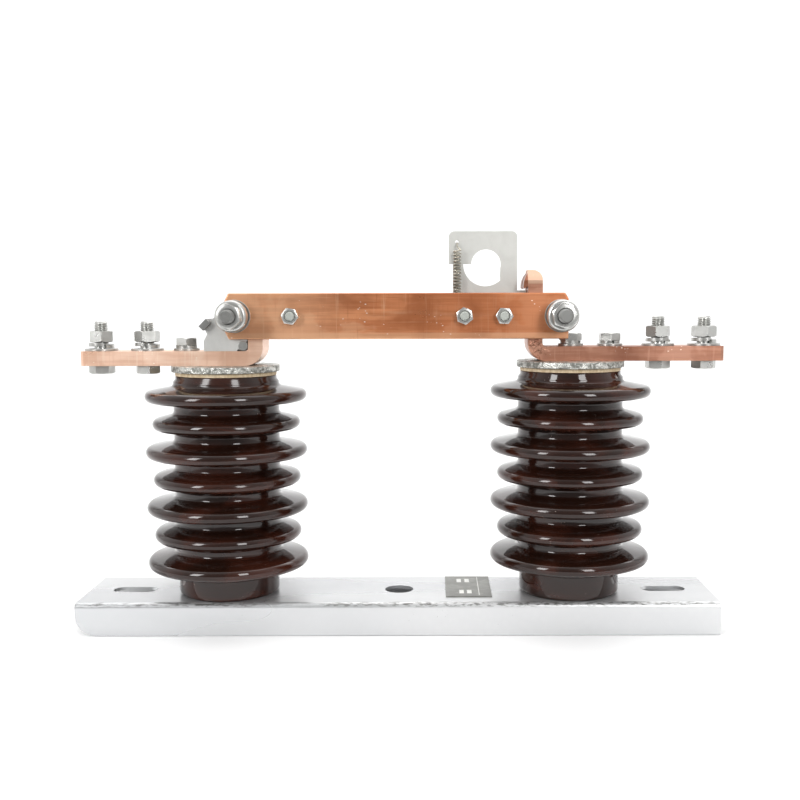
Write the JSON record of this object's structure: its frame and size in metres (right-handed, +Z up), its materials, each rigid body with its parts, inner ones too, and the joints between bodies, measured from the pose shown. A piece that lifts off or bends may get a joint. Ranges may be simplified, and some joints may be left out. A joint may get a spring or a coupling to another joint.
{
  "type": "substation disconnect switch",
  "caption": "Single-pole outdoor isolating switch: ribbed porcelain posts on a steel channel, copper terminals, a hinged double copper blade and a sprung pull-ring latch.",
  "frame": {"origin": "centre of the channel's underside, on the ground; the middle of the whole box is 3 mm further along +X, because the contact terminal runs out past the channel further than the hinge terminal does", "axes": "+X from the hinge post to the contact post, +Z up, -Y the front, where the spring stacks are"},
  "size_m": [0.554, 0.139, 0.3425],
  "materials": {
    "galvanised_steel": "hot-dip galvanised, slightly dirty",
    "porcelain": "dark brown glaze",
    "gasket": "tan fibre board",
    "cap_metal": "rough, mottled grey",
    "copper": "bare copper, drawn",
    "plated_steel": "zinc-plated",
    "bracket_steel": "pale zinc-plated sheet",
    "dark_steel": "dull grey",
    "plate": "dark grey, etched"
  },
  "bodies": {
    "frame": {"base_channel": "galvanised_steel", "rating_plate": "plate", "insulator_left": "porcelain", "insulator_right": "porcelain", "gasket_left": "gasket", "gasket_right": "gasket", "cap_plate_left": "cap_metal", "cap_plate_right": "cap_metal", "foot_bolts": "plated_steel", "foot_washers": "plated_steel", "hinge_terminal": "copper", "contact_terminal": "copper", "cap_bolts": "plated_steel", "cap_spring_washers": "plated_steel", "cap_washers": "plated_steel", "line_bolts": "plated_steel", "line_washers": "plated_steel", "line_spring_washers": "plated_steel", "line_nuts": "plated_steel", "hinge_bracket": "bracket_steel", "stop_bar": "dark_steel", "bracket_pin": "plated_steel"},
    "blade": {"blade_front": "copper", "blade_rear": "copper", "hinge_bolt": "plated_steel", "hinge_washers": "plated_steel", "hinge_spring": "dark_steel", "hinge_cup": "plated_steel", "hinge_nut": "plated_steel", "contact_bolt": "plated_steel", "contact_washers": "plated_steel", "contact_spring": "dark_steel", "contact_cup": "plated_steel", "contact_nut": "plated_steel", "contact_spacer": "plated_steel", "tie_bolts": "plated_steel", "tie_nuts": "plated_steel", "tie_spacers": "plated_steel", "latch_spring": "dark_steel"},
    "latch": {"ring_plate": "bracket_steel"}
  },
  "joints": [
    {"name": "blade_open", "type": "hinge", "parent": "frame", "child": "blade", "pos_m": [-0.138, 0, 0.27], "axis": [0, -1, 0], "range_deg": [0, 90]},
    {"name": "latch_turn", "type": "hinge", "parent": "blade", "child": "latch", "pos_m": [0.0908, 0, 0.27], "axis": [0, 1, 0], "range_deg": [0, 18], "stiffness_Nm_per_rad": 0.4, "springref_deg": -17.19, "deforming": ["latch_spring"]}
  ]
}
